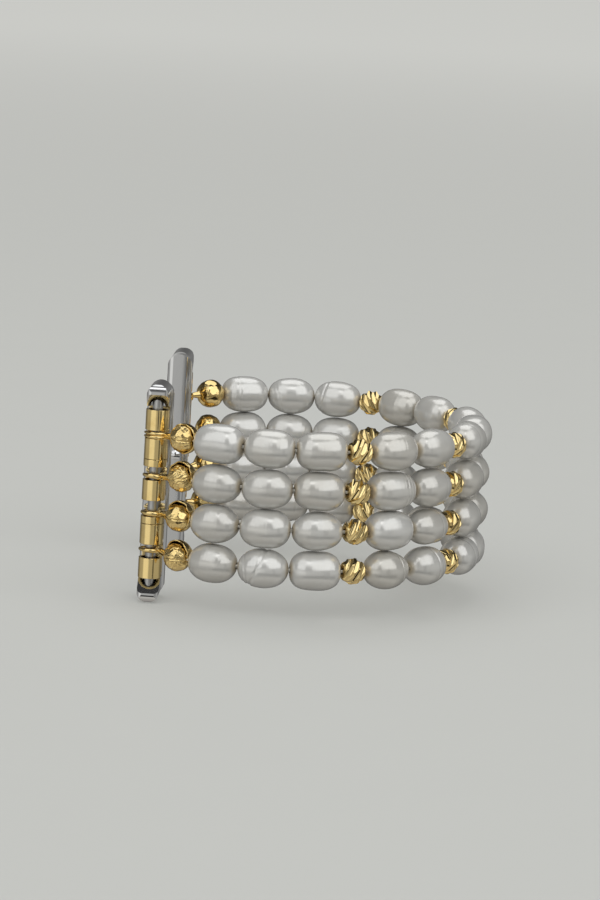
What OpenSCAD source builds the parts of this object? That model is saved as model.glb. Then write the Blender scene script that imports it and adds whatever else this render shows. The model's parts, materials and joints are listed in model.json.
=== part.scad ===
// Pearl watch band: four strands of drilled pearls and cut gold spacer beads between two steel slide connectors.
// X runs from the connectors to the middle row of pearls, Y from the front connector to the back one, and
// Z along the two spring bars. The origin is the middle of the footprint, at the connectors' lower ends.

/* [Strands] */
// Largest diameter of a pearl
pearl_d = 5.9; // [4.5:0.1:8]
// Length of a pearl along the strand
pearl_len = 7.6; // [6:0.1:10]
// Diameter of a gold spacer bead
spacer_d = 4.1; // [3.4:0.1:4.6]
// Length of a gold spacer bead along the strand
spacer_len = 3.6; // [3:0.1:4.4]
// Air between two strands at the pearls
strand_gap = 0.1; // [0.05:0.05:0.6]
// Air between two beads on one cord
bead_gap = 0.2; // [0.15:0.05:0.4]
// Diameter of the hole drilled through every bead
drill_d = 0.9; // [0.7:0.05:1.2]
// Diameter of the stringing cord
cord_d = 0.5; // [0.3:0.05:0.6]
// How much the closed band turns for each millimetre of strand, in degrees
curl = 2.0; // [1.4:0.05:2.1]

/* [Bead tips] */
// Outer diameter of the front cup of a clamshell bead tip
cup_d = 4.0; // [3.6:0.1:4.6]
// How far the back cup's rim stands out past the front cup
rim_step = 0.28; // [0.2:0.02:0.35]
// Wall of both cups
cup_wall = 0.3; // [0.25:0.05:0.5]
// Distance from the bar's axis to the middle of the cups
tip_reach = 5.4; // [5.2:0.1:7]
// Wire thickness of the ring round the bar
ring_wire = 0.85; // [0.7:0.05:1]
// Air between the bar and a ring
ring_gap = 0.35; // [0.2:0.05:0.5]
// Diameter of the neck where it meets the cups
neck_d = 1.9; // [1.4:0.1:2.4]
// Outer diameter of a crimp bead
crimp_d = 1.8; // [1.4:0.1:2]
// Length of a crimp bead
crimp_len = 1.5; // [1:0.1:2]

/* [Bar and sleeves] */
// Diameter of the spring bar
bar_d = 1.6; // [1.4:0.1:2]
// Wall of the spring bar's tube
bar_wall = 0.22; // [0.18:0.02:0.26]
// Diameter of the bar's end pivots
pivot_d = 0.85; // [0.75:0.05:0.9]
// How far each pivot sticks out of the bar
pivot_len = 1.0; // [0.8:0.1:1.2]
// Outer diameter of a sleeve
sleeve_d = 3.5; // [3:0.1:3.8]
// Wall of a sleeve
sleeve_wall = 0.35; // [0.25:0.05:0.5]
// Length of a narrow collar
collar_len = 1.1; // [0.8:0.1:1.4]
// Length left over between two rings when a sleeve and a collar sit there
sleeve_play = 0.95; // [0.7:0.05:1.2]
// Free length left at each end of the bar, beside the outer sleeve
end_play = 0.75; // [0.4:0.05:1.2]

/* [Connector] */
// Length of an ear beyond the notch
ear_len = 3.5; // [3.1:0.05:4.5]
// Air between the bar and its seat in an ear
seat_gap = 0.35; // [0.2:0.05:0.4]
// Wall beside the bar's seat
side_wall = 0.5; // [0.4:0.05:0.8]
// Wall in front of the bar's seat
front_wall = 0.85; // [0.5:0.05:1.2]
// Air between a ring and the floor of the notch
notch_gap = 0.35; // [0.3:0.05:0.6]
// How far the rail stands out to each side of the connector's body
rail_lip = 0.35; // [0.2:0.05:0.6]
// Thickness of the rail
rail_depth = 1.8; // [1.4:0.1:2]
// Thickness of the floor between the notch and the lock button's bore
web = 0.7; // [0.5:0.05:1]

/* [Lock button] */
// Diameter of the button's flange
button_d = 1.9; // [1.7:0.05:2.1]
// How far the button stands out of the rail
button_proud = 0.6; // [0.4:0.05:0.7]
// Width of the lip that keeps the button in
button_lip = 0.15; // [0.1:0.05:0.2]
// Depth of the button's bore
button_bore = 2.4; // [2.2:0.1:2.8]

/* [Hidden] */

// Clearances of pieces that slide or turn in one another
run_fit = 0.05;
stack_gap = 0.05;
// How far a cut reaches past the face it opens
past = 1;

// How much the pearls differ: their bluntness, their lean towards an egg and their girth
blunt_mean = 2.4;
blunt_swing = 0.35;
egg_swing = 0.06;
girth_swing = 0.01;
// Some pearls have a growth ring: how strong a wobble gives one, how far out it may lie, its depth and its width
ring_share = 0.8;
ring_place = 0.6;
ring_depth = 0.09;
ring_width = 0.3;

// The beads of one arm, from the middle row towards a connector: 1 is a pearl, 0 a spacer bead
arm = [1, 1, 0, 1, 1, 0, 1, 1, 1];
last = len(arm) - 1;
strands = 4;
strand_pitch = pearl_d + strand_gap;
function strand_z(s) = ((strands + 1) / 2 - s) * strand_pitch;

// Half of the room a bead takes on its cord
function reach(i) = ((arm[i] == 1 ? pearl_len : spacer_len) + bead_gap) / 2;
tip_half = (cup_d + bead_gap) / 2 + rim_step;
function heading(t) = [-sin(t), -cos(t)];
function bend(i) = curl * (reach(i) + (i < last ? reach(i + 1) : tip_half + tip_reach / 2));

// Middle and turn of each bead of the front arm; the middle row comes first
stations = [
    for (i = 0, t = 0, p = [0, 0]; i <= last;
        p = i < last ? p + reach(i) * heading(t) + reach(i + 1) * heading(t + bend(i)) : p,
        t = t + bend(i), i = i + 1) [p, t]
];
tip_turn = stations[last][1] + bend(last);
tip_joint = stations[last][0] + reach(last) * heading(stations[last][1]);
pin = tip_joint + (tip_half + tip_reach) * heading(tip_turn);

// Rings sit a little off the strands' middles, as hand-bent rings do
ring_shift = [-0.15, -0.45, 0, 0.4];
function ring_z(s) = strand_z(s) + ring_shift[s - 1];
ring_d = bar_d + 2 * (ring_gap + ring_wire);

// The stack of sleeves along the bar
sleeve_len = strand_pitch - ring_wire - collar_len - sleeve_play;
function under_ring(s) = ring_z(s) - ring_wire / 2 - stack_gap;
ring_1_top = ring_z(1) + ring_wire / 2;
notch_half = ring_1_top + sleeve_len + end_play;
sleeve_tops = [
    ring_1_top + end_play / 2 + sleeve_len,
    under_ring(1),
    under_ring(2),
    under_ring(3) - collar_len - stack_gap,
    sleeve_len - notch_half + end_play / 4
];
collar_tops = [under_ring(1) - sleeve_len - stack_gap, under_ring(3)];

// Where the seams of the rolled pieces have turned to, round the bar
sleeve_seams = [-78, 100, 60, 140, 20];
collar_seams = [80, 120];

// The connector, with depth counted from the bar's axis towards the rail
connector_len = 2 * (notch_half + ear_len);
seat_d = bar_d + 2 * seat_gap;
connector_w = seat_d + 2 * side_wall;
rail_w = connector_w + 2 * rail_lip;
ear_front = seat_d / 2 + front_wall;
notch_floor = max(ring_d, sleeve_d) / 2 + notch_gap;
chamfer = ear_front;
seat_depth = 1.6;
seat_end = notch_half + seat_depth;
rail_back = notch_floor + web + button_bore;
rail_inset = 0.3;
edge_round = 0.7;
corner_round = 1.2;

// The spring bar
bar_end_gap = 0.1;
bar_half = seat_end - bar_end_gap;
bar_bore = bar_d - 2 * bar_wall;
bar_mouth = 0.4;
piston_d = bar_bore - 2 * run_fit;
piston_len = 0.8;
piston_gap = 0.05;
spring_wire = 0.2;
bar_curls = 16;
pivot_end_gap = 0.15;
pivot_hole_end = bar_half + pivot_len + pivot_end_gap;

// The lock button's seat behind its lip
lip_depth = 0.3;
button_flange = 0.5;
button_seat = lip_depth + stack_gap;
lock_inset = 0.15;
lock_curls = 4;

// Everything is drawn with the middle row at zero and then moved to the origin's place
shift_x = (rail_w / 2 - pin[0] - pearl_d / 2) / 2;
module in_place() translate([shift_x, 0, connector_len / 2]) children();
module on_side(side) mirror([0, side == "back" ? 1 : 0, 0]) children();

// A child drawn along X, with +X towards the connector and +Y outwards, goes to a bead's place on its arm
module at_bead(i, side) in_place() on_side(side)
    translate([stations[i][0][0], stations[i][0][1], 0]) rotate([0, 0, -90 - stations[i][1]]) children();
module at_tip(side) in_place() on_side(side)
    translate([pin[0], pin[1], 0]) rotate([0, 0, -90 - tip_turn]) children();
module at_bar(side) in_place() on_side(side) translate([pin[0], pin[1], 0]) children();

module rod(d, from, to) translate([0, 0, from]) cylinder(d = d, h = to - from, $fn = 48);
module tube(d, bore, from, to) difference() {
    rod(d, from, to);
    rod(bore, from - 1, to + 1);
}

// No two pearls are quite alike: a steady wobble from minus one to one for each
function wobble(row, s, k) = sin(row * 137 + s * 71 + k * 53);
function pearl_outline(r, half, blunt, egg, ring_x, steps) = [
    for (k = [0 : steps])
        let (a = 180 * k / steps, x = half * cos(a) * pow(abs(cos(a)), 2 / blunt - 1 + (cos(a) == 0 ? 1 : 0)),
            groove = ring_x == 0 ? 0 : ring_depth * exp(-pow((x - ring_x) / ring_width, 2)),
            y = (r - groove) * pow(sin(a), 2 / blunt) * (1 + egg * cos(a)))
        if (y > drill_d / 2) [y, x]
];
module pearl(row, s) {
    blunt = blunt_mean + blunt_swing * wobble(row, s, 1);
    egg = egg_swing * wobble(row, s, 2);
    r = pearl_d / 2 * (1 - abs(egg) / 2 - girth_swing * (1 + wobble(row, s, 3)));
    ring_x = abs(wobble(row, s, 4)) > ring_share ? ring_place * pearl_len / 2 * wobble(row, s, 5) : 0;
    steps = ring_x == 0 ? 18 : 34;
    half = pearl_len / 2 / pow(cos(180 / steps), 2 / blunt);
    outline = pearl_outline(r, half, blunt, egg, ring_x, steps);
    top = outline[0][1];
    foot = outline[len(outline) - 1][1];
    color("ivory") rotate([0, 90, 0]) rotate_extrude($fn = 64)
        polygon(concat([[drill_d / 2, top]], outline, [[drill_d / 2, foot]]));
}
module pearl_row(row) {
    i = abs(row - 7) + (abs(row - 7) > 1 ? 1 : 0) + (abs(row - 7) > 3 ? 1 : 0);
    at_bead(i, row > 7 ? "back" : "front")
        for (s = [1 : strands]) translate([0, 0, strand_z(s)]) pearl(row, s);
}

// A round gold bead covered with flat leaf-shaped cuts, which lie along a steep spiral
module spacer_bead(turn) {
    cuts = 6;
    cut_depth = 0.2;
    cut_size = 0.55 * spacer_d;
    tier_lean = 19;
    tier_twist = 0.19;
    end_flat = 0.55;
    ball_d = sqrt(pow(spacer_len, 2) + pow(drill_d + 2 * end_flat, 2));
    belly_d = max(spacer_d, ball_d);
    color("gold") rotate([0, 90, 0]) difference() {
        intersection() {
            sphere(d = belly_d, $fn = 64);
            rod(spacer_d, -spacer_len / 2, spacer_len / 2);
        }
        rod(drill_d, -spacer_len, spacer_len);
        for (tier = [-2 : 2], k = [0 : cuts - 1])
            rotate([0, -tier * tier_lean, (k + turn + tier * tier_twist) * 360 / cuts])
                translate([spacer_d / 2 - cut_depth, -cut_size / 2, -cut_size / 2])
                    cube([cut_size, cut_size, cut_size]);
    }
}
module spacer_row(row) {
    i = row == 1 || row == 4 ? 5 : 2;
    at_bead(i, row > 2 ? "back" : "front")
        for (s = [1 : strands]) translate([0, 0, strand_z(s)]) spacer_bead(s * 0.3);
}

// The cord's path: straight through every bead, turning in the gaps between them
function flip(path) = [for (k = [len(path) - 1 : -1 : 0]) [path[k][0], -path[k][1]]];
cup_middle = pin - tip_reach * heading(tip_turn);
cord_tail = 0.1;
cord_end = cup_middle + (crimp_len / 2 + cord_tail) * heading(tip_turn);
front_path = concat([cord_end, tip_joint],
    [for (i = [last - 1 : -1 : 0]) stations[i][0] + reach(i) * heading(stations[i][1])]);
cord_path = concat(front_path, flip(front_path));
function ahead(k) = let (n = len(cord_path), d = cord_path[min(k + 1, n - 1)] - cord_path[max(k - 1, 0)])
    d / norm(d);
module cord(s) {
    sides = 8;
    n = len(cord_path);
    rings = [for (k = [0 : n - 1], a = [0 : sides - 1])
        let (u = ahead(k), w = cord_d / 2 * cos(360 * a / sides), h = cord_d / 2 * sin(360 * a / sides))
        [cord_path[k][0] - u[1] * w, cord_path[k][1] + u[0] * w, strand_z(s) + h]];
    sleeve_faces = [for (k = [0 : n - 2], a = [0 : sides - 1], half = [0, 1])
        let (b = (a + 1) % sides, p = k * sides, q = p + sides)
        half == 0 ? [p + a, p + b, q + a] : [p + b, q + b, q + a]];
    ends = [[for (a = [sides - 1 : -1 : 0]) a], [for (a = [0 : sides - 1]) (n - 1) * sides + a]];
    color("gainsboro") in_place() polyhedron(rings, concat(sleeve_faces, ends));
}

// The front cup is hammered: small flats spread evenly over it, each as deep as the hammer went
module hammer_marks(turn) {
    marks = 12;
    spread = 58;
    mark_depth = 0.07;
    mark_d = 1.2;
    golden_angle = 137.5;
    for (k = [0 : marks - 1])
        rotate([-90, 0, 0]) rotate([0, spread * sqrt((k + 0.5) / marks), k * golden_angle + turn])
            rod(mark_d, cup_d / 2 - mark_depth, cup_d);
}

// A clamshell bead tip: two cups folded over the cord's end, a neck and a ring round the bar
module cups(s) {
    seam = 0.12;
    seam_depth = 0.08;
    lap = 0.3;
    difference() {
        rotate([-90, 0, 0]) rotate_extrude($fn = 64) {
            intersection() {
                circle(d = cup_d + 2 * rim_step, $fn = 64);
                translate([0, -cup_d]) square([cup_d, cup_d + lap]);
            }
            intersection() {
                circle(d = cup_d, $fn = 64);
                translate([0, lap]) square([cup_d, cup_d]);
            }
        }
        intersection() {
            tube(cup_d + past, cup_d - 2 * seam_depth, -seam / 2, seam / 2);
            translate([-cup_d, 2 * lap, -seam]) cube([2 * cup_d, cup_d, 2 * seam]);
        }
        hammer_marks(s * 50);
    }
}
module bead_tip(s) {
    neck_tip = 0.8 * ring_wire;
    neck_root = cup_d / 4;
    drop = -ring_shift[s - 1];
    ring_r = (ring_d - ring_wire) / 2;
    neck_lean = atan2(drop, tip_reach - ring_r);
    color("goldenrod") translate([0, 0, ring_z(s)]) difference() {
        union() {
            rotate_extrude($fn = 64) translate([ring_r, 0]) circle(d = ring_wire, $fn = 24);
            translate([-ring_r, 0, 0]) rotate([0, neck_lean - 90, 0])
                cylinder(d1 = neck_tip, d2 = neck_d, h = tip_reach - ring_r - neck_root, $fn = 48);
            translate([-tip_reach, 0, drop]) cups(s);
        }
        translate([-tip_reach, 0, drop]) {
            sphere(d = cup_d - 2 * cup_wall, $fn = 64);
            rotate([0, -90, 0]) rod(drill_d, 0, cup_d);
        }
    }
}
module crimp_beads() for (s = [1 : strands]) translate([-tip_reach, 0, strand_z(s)]) rotate([0, 90, 0])
    color("silver") tube(crimp_d, cord_d + 2 * run_fit, -crimp_len / 2, crimp_len / 2);

// Sleeves and collars that turn on the bar, rolled from strip, each with a fine groove where its edges meet
module rolled(top, length, seam_at) {
    seam = 0.12;
    seam_depth = 0.15;
    color("gold") difference() {
        tube(sleeve_d, sleeve_d - 2 * sleeve_wall, top - length, top);
        rotate([0, 0, seam_at]) translate([sleeve_d / 2 - seam_depth, -seam / 2, top - length - 1])
            cube([sleeve_d, seam, length + 2]);
    }
}
module sleeve(k) rolled(sleeve_tops[k - 1], sleeve_len, sleeve_seams[k - 1]);
module collar(k) rolled(collar_tops[k - 1], collar_len, collar_seams[k - 1]);

// The spring bar: a tube with a mouth at each end, two pivots held in by their pistons, and a spring between them
module spring_bar() color("slategray") difference() {
    rod(bar_d, -bar_half, bar_half);
    rod(bar_bore, -bar_half + bar_mouth, bar_half - bar_mouth);
    rod(pivot_d + 2 * run_fit, -bar_half - 1, bar_half + 1);
}
module bar_pivot(end) mirror([0, 0, end == "lower" ? 1 : 0]) {
    piston_top = bar_half - bar_mouth - piston_gap;
    bevel = 0.15;
    shoulder = bar_half + pivot_len - bevel;
    color("lightslategray") union() {
        rod(pivot_d, piston_top - piston_len, shoulder);
        rod(piston_d, piston_top - piston_len, piston_top);
        translate([0, 0, shoulder]) cylinder(d1 = pivot_d, d2 = pivot_d - 2 * bevel, h = bevel, $fn = 48);
    }
}

// A coil spring as one tube wound round Z, with a flat ring of wire at each end left to the pieces it pushes
module coil(d, wire, length, curls) {
    sides = 6;
    steps = 8;
    n = curls * steps;
    r = (d - wire) / 2;
    rise = length - wire;
    slope = atan2(rise / curls, PI * (d - wire));
    rings = [for (k = [0 : n], a = [0 : sides - 1])
        let (t = 360 * k / steps, w = wire / 2 * cos(360 * a / sides), h = wire / 2 * sin(360 * a / sides))
        [(r + w) * cos(t) + h * sin(slope) * sin(t), (r + w) * sin(t) - h * sin(slope) * cos(t),
            wire / 2 + rise * k / n + h * cos(slope)]];
    skin = [for (k = [0 : n - 1], a = [0 : sides - 1], half = [0, 1])
        let (b = (a + 1) % sides, p = k * sides, q = p + sides)
        half == 0 ? [p + a, q + a, p + b] : [p + b, q + a, q + b]];
    ends = [[for (a = [0 : sides - 1]) a], [for (a = [sides - 1 : -1 : 0]) n * sides + a]];
    polyhedron(rings, concat(skin, ends));
}
module bar_spring() {
    half = bar_half - bar_mouth - piston_gap - piston_len - stack_gap;
    color("silver") translate([0, 0, -half]) coil(piston_d, spring_wire, 2 * half, bar_curls);
}

// The connector, drawn with X across, Y towards the rail and Z along the bar
module stadium(w, l, from_y, to_y) translate([0, to_y, 0]) rotate([90, 0, 0]) linear_extrude(to_y - from_y) {
    square([w, l - w], center = true);
    for (end = [-1, 1]) translate([0, end * (l - w) / 2]) circle(d = w, $fn = 64);
}
module corner(r) difference() {
    translate([-past, -past]) square(r + past);
    translate([r, r]) circle(r = r, $fn = 48);
}
module notch_outline() polygon([
    [-ear_front - 1, notch_half + chamfer + 1], [0, notch_half], [notch_floor, notch_half],
    [notch_floor, -notch_half], [0, -notch_half], [-ear_front - 1, -notch_half - chamfer - 1]
]);
module connector_body() {
    body_back = rail_back - rail_depth / 2;
    intersection() {
        stadium(connector_w, connector_len, -ear_front, body_back);
        rotate([90, 0, 90]) linear_extrude(connector_w + 2, center = true) difference() {
            translate([-ear_front, -connector_len / 2]) square([body_back + ear_front, connector_len]);
            notch_outline();
            for (end = [0, 1]) mirror([0, end]) translate([-ear_front, -connector_len / 2]) corner(corner_round);
        }
        linear_extrude(connector_len + 2, center = true) difference() {
            translate([-connector_w / 2 - 1, -ear_front]) square([connector_w + 2, body_back + ear_front]);
            for (end = [0, 1]) mirror([end, 0]) translate([-connector_w / 2, -ear_front]) corner(edge_round);
        }
    }
}
module rail() intersection() {
    stadium(rail_w, connector_len - 2 * rail_inset, rail_back - rail_depth, rail_back);
    linear_extrude(connector_len, center = true) translate([0, rail_back - rail_depth / 2]) {
        square([rail_w - rail_depth, rail_depth], center = true);
        for (end = [-1, 1]) translate([end * (rail_w - rail_depth) / 2, 0]) circle(d = rail_depth, $fn = 48);
    }
}
module connector() color("silver") difference() {
    union() {
        connector_body();
        rail();
    }
    rod(seat_d, -seat_end, seat_end);
    rod(pivot_d + 2 * run_fit, -pivot_hole_end, pivot_hole_end);
    translate([0, rail_back, 0]) rotate([90, 0, 0]) {
        rod(button_d + 2 * run_fit, lip_depth, button_bore);
        rod(button_d - 2 * button_lip + 2 * run_fit, -1, button_bore);
    }
}

// The lock button, with a domed nose that stands out of the rail, and the spring under its flange
module lock_button() color("lightgray") translate([0, rail_back, 0]) rotate([90, 0, 0]) {
    nose_d = button_d - 2 * button_lip;
    dome_r = (pow(nose_d / 2, 2) + pow(button_proud / 2, 2)) / button_proud;
    rod(button_d, button_seat, button_seat + button_flange);
    rod(nose_d, -button_proud / 2, button_seat);
    intersection() {
        translate([0, 0, dome_r - button_proud]) sphere(r = dome_r, $fn = 64);
        rod(nose_d, -button_proud, -button_proud / 2);
    }
}
module lock_spring() {
    length = button_bore - button_seat - button_flange - 2 * stack_gap;
    coil_d = button_d - 2 * lock_inset;
    color("silver") translate([0, rail_back - button_bore + stack_gap, 0]) rotate([-90, 0, 0])
        coil(coil_d, spring_wire, length, lock_curls);
}

at_bar("front") connector();  // connector_front
at_bar("back") connector();  // connector_back
at_bar("front") spring_bar();  // spring_bar_front
at_bar("back") spring_bar();  // spring_bar_back
at_bar("front") bar_pivot("upper");  // bar_pivot_upper_front
at_bar("front") bar_pivot("lower");  // bar_pivot_lower_front
at_bar("back") bar_pivot("upper");  // bar_pivot_upper_back
at_bar("back") bar_pivot("lower");  // bar_pivot_lower_back
at_bar("front") bar_spring();  // bar_spring_front
at_bar("back") bar_spring();  // bar_spring_back
at_bar("front") lock_button();  // lock_button_front
at_bar("back") lock_button();  // lock_button_back
at_bar("front") lock_spring();  // lock_spring_front
at_bar("back") lock_spring();  // lock_spring_back
at_bar("front") sleeve(1);  // sleeve_1_front
at_bar("front") sleeve(2);  // sleeve_2_front
at_bar("front") sleeve(3);  // sleeve_3_front
at_bar("front") sleeve(4);  // sleeve_4_front
at_bar("front") sleeve(5);  // sleeve_5_front
at_bar("back") sleeve(1);  // sleeve_1_back
at_bar("back") sleeve(2);  // sleeve_2_back
at_bar("back") sleeve(3);  // sleeve_3_back
at_bar("back") sleeve(4);  // sleeve_4_back
at_bar("back") sleeve(5);  // sleeve_5_back
at_bar("front") collar(1);  // collar_1_front
at_bar("front") collar(2);  // collar_2_front
at_bar("back") collar(1);  // collar_1_back
at_bar("back") collar(2);  // collar_2_back
at_tip("front") bead_tip(1);  // bead_tip_1_front
at_tip("front") bead_tip(2);  // bead_tip_2_front
at_tip("front") bead_tip(3);  // bead_tip_3_front
at_tip("front") bead_tip(4);  // bead_tip_4_front
at_tip("back") bead_tip(1);  // bead_tip_1_back
at_tip("back") bead_tip(2);  // bead_tip_2_back
at_tip("back") bead_tip(3);  // bead_tip_3_back
at_tip("back") bead_tip(4);  // bead_tip_4_back
at_tip("front") crimp_beads();  // crimp_beads_front
at_tip("back") crimp_beads();  // crimp_beads_back
pearl_row(1);  // pearl_row_1
pearl_row(2);  // pearl_row_2
pearl_row(3);  // pearl_row_3
pearl_row(4);  // pearl_row_4
pearl_row(5);  // pearl_row_5
pearl_row(6);  // pearl_row_6
pearl_row(7);  // pearl_row_7
pearl_row(8);  // pearl_row_8
pearl_row(9);  // pearl_row_9
pearl_row(10);  // pearl_row_10
pearl_row(11);  // pearl_row_11
pearl_row(12);  // pearl_row_12
pearl_row(13);  // pearl_row_13
spacer_row(1);  // spacer_row_1
spacer_row(2);  // spacer_row_2
spacer_row(3);  // spacer_row_3
spacer_row(4);  // spacer_row_4
cord(1);  // cord_1
cord(2);  // cord_2
cord(3);  // cord_3
cord(4);  // cord_4
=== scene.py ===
import json
import math
import random

import bpy
import bmesh
from mathutils import Matrix, Vector, noise
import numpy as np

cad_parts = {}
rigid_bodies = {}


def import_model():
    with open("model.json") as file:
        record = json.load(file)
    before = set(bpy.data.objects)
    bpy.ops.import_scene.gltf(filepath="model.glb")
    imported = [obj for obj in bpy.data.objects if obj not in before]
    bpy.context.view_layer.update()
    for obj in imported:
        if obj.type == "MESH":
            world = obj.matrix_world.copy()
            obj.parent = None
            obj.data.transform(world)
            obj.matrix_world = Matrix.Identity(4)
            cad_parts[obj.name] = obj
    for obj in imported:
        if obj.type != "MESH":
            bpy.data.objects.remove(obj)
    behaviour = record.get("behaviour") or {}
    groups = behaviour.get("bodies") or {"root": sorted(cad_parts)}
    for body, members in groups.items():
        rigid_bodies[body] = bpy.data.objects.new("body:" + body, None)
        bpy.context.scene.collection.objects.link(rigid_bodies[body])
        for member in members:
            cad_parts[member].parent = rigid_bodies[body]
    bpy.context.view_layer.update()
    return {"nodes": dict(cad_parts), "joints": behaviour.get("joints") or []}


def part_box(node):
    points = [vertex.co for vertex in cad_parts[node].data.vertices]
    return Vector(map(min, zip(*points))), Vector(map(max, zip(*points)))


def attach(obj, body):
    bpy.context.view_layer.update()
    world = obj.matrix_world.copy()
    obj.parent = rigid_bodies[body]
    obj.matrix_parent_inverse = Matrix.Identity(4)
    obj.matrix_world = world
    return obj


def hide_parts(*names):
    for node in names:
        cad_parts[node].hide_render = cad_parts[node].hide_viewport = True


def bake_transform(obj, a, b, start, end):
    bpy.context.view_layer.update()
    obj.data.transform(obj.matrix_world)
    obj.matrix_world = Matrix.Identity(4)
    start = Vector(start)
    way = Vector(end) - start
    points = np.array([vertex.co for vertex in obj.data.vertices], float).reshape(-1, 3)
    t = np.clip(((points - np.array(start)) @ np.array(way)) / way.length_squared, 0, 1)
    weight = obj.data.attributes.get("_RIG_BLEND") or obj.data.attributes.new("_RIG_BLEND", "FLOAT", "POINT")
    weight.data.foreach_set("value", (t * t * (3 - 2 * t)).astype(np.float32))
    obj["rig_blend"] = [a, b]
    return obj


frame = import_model()
mm = 0.001
print("frame loaded:", len(frame["nodes"]), "nodes")


# Where things are, read from the frame

sides = ("front", "back")
strands = (1, 2, 3, 4)
jointList = frame["joints"]
jointNamed = {joint["name"]: joint for joint in jointList}


def pivotOf(jointName):
    return Vector(jointNamed[jointName]["pos_m"])


def armOf(side):
    # the joints from the middle row to the bead tips, in order
    chain = [jointNamed[side + "_arm_unroll"]]
    while True:
        last = chain[-1]["child"]
        following = [j for j in jointList if j["parent"] == last and "_bend_" in j["name"]]
        if not following:
            return chain
        chain.append(following[0])


def placeMatrix(x, y, z, spot):
    # lays the three axes along x, y and z, and the origin at spot
    return Matrix((
        (x.x, y.x, z.x, spot.x),
        (x.y, y.y, z.y, spot.y),
        (x.z, y.z, z.z, spot.z),
        (0, 0, 0, 1)))


def localFrame(centre, towards, side):
    # X along the strand to the connector, Y outwards, Z up; it is mirrored on the back arm
    x = (towards - centre).normalized()
    up = Vector((0, 0, 1))
    y = up.cross(x) if side == "front" else x.cross(up)
    return placeMatrix(x, y, up, centre)


def beadPlaces():
    # the place of each row of beads, by the name of its body
    places = {}
    for side in sides:
        hinges = [Vector(j["pos_m"]) for j in armOf(side)]
        for joint, near, far in zip(armOf(side), hinges, hinges[1:]):
            places[joint["child"]] = localFrame((near + far) / 2, far, side)
    near, far = pivotOf("back_arm_unroll"), pivotOf("front_arm_unroll")
    places["middle_row"] = localFrame((near + far) / 2, far, "front")
    return places


places = beadPlaces()
strandZ = [sum(corner.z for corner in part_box(f"cord_{s}")) / 2 for s in strands]
midZ = sum(strandZ) / len(strands)


def strandPlace(body, strand):
    # a bead's place: that of its row, moved up or down to its strand
    lift = Matrix.Translation((0, 0, strandZ[strand - 1] - places[body].translation.z))
    return lift @ places[body]


# Camera

view = {"distance": 544 * mm, "pitch": 9.02, "yaw": 2.55, "roll": 3.37, "lens": 139, "sensor": 36,
        "right": 20.7 * mm, "up": 4.4 * mm, "clipStart": 10 * mm}


def makeCamera():
    pitch, yaw, roll = (math.radians(view[k]) for k in ("pitch", "yaw", "roll"))
    right = Vector((math.cos(yaw), math.sin(yaw), 0))
    ahead = Vector((
        -math.sin(yaw) * math.cos(pitch), math.cos(yaw) * math.cos(pitch), -math.sin(pitch)))
    up = right.cross(ahead)
    pinX = pivotOf("front_connector_swing").x
    target = Vector((pinX, 0, midZ)) + view["right"] * right + view["up"] * up
    camRight = math.cos(roll) * right + math.sin(roll) * up
    camUp = camRight.cross(ahead)
    camera = bpy.data.objects.new("camera", bpy.data.cameras.new("camera"))
    camera.data.lens = view["lens"]
    camera.data.sensor_width = view["sensor"]
    camera.data.clip_start = view["clipStart"]
    camera.matrix_world = placeMatrix(camRight, camUp, -ahead, target - view["distance"] * ahead)
    bpy.context.scene.collection.objects.link(camera)
    bpy.context.scene.camera = camera


makeCamera()
bpy.context.scene.view_settings.view_transform = "Standard"


# Shader sums written as Python: a Wire is one output of a node

class Wire:
    def __init__(self, tree, socket):
        self.tree = tree
        self.socket = socket

    def output(self, key):
        # another output of the same node
        return Wire(self.tree, self.socket.node.outputs[key])

    def combine(self, operation, a, b):
        return addNode(self.tree, "ShaderNodeMath", {"operation": operation}, {0: a, 1: b})

    def __add__(self, other):
        return self.combine("ADD", self, other)

    def __radd__(self, other):
        return self.combine("ADD", other, self)

    def __sub__(self, other):
        return self.combine("SUBTRACT", self, other)

    def __rsub__(self, other):
        return self.combine("SUBTRACT", other, self)

    def __mul__(self, other):
        return self.combine("MULTIPLY", self, other)

    def __rmul__(self, other):
        return self.combine("MULTIPLY", other, self)


def addNode(tree, kind, settings, sockets, out=0):
    node = tree.nodes.new(kind)
    for key, value in settings.items():
        if key == "stops":
            for stop, (place, colour) in zip(node.color_ramp.elements, value):
                stop.position = place
                stop.color = colour
            for place, colour in value[2:]:
                node.color_ramp.elements.new(place).color = colour
        else:
            setattr(node, key, value)
    for key, value in sockets.items():
        if isinstance(value, Wire):
            tree.links.new(value.socket, node.inputs[key])
        else:
            node.inputs[key].default_value = value
    return Wire(tree, node.outputs[out] if node.outputs else None)


def mixColour(tree, share, a, b):
    # a Mix node's colours are its inputs 6 and 7, and its output 2
    return addNode(tree, "ShaderNodeMix", {"data_type": "RGBA"}, {0: share, 6: a, 7: b}, 2)


def between(tree, value, low, high):
    # 0 below low, 1 above high, smooth between them
    return addNode(tree, "ShaderNodeMapRange", {"interpolation_type": "SMOOTHSTEP"},
                   {"Value": value, "From Min": low, "From Max": high})


def band(tree, value, low, fullLow, fullHigh, high):
    # 1 from fullLow to fullHigh, 0 below low and above high
    return between(tree, value, low, fullLow) * (1 - between(tree, value, fullHigh, high))


def attribute(tree, name):
    # a number stored on the mesh's points
    return addNode(tree, "ShaderNodeAttribute", {"attribute_name": name}, {}, "Fac")


def objectPlace(tree):
    return addNode(tree, "ShaderNodeTexCoord", {}, {}, "Object")


def softNoise(tree, place, scale, detail=2.0):
    return addNode(tree, "ShaderNodeTexNoise", {},
                   {"Vector": place, "Scale": scale, "Detail": detail})


def newMaterial(name):
    material = bpy.data.materials.new(name)
    material.use_nodes = True
    material.node_tree.nodes.clear()
    return material, material.node_tree


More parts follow.
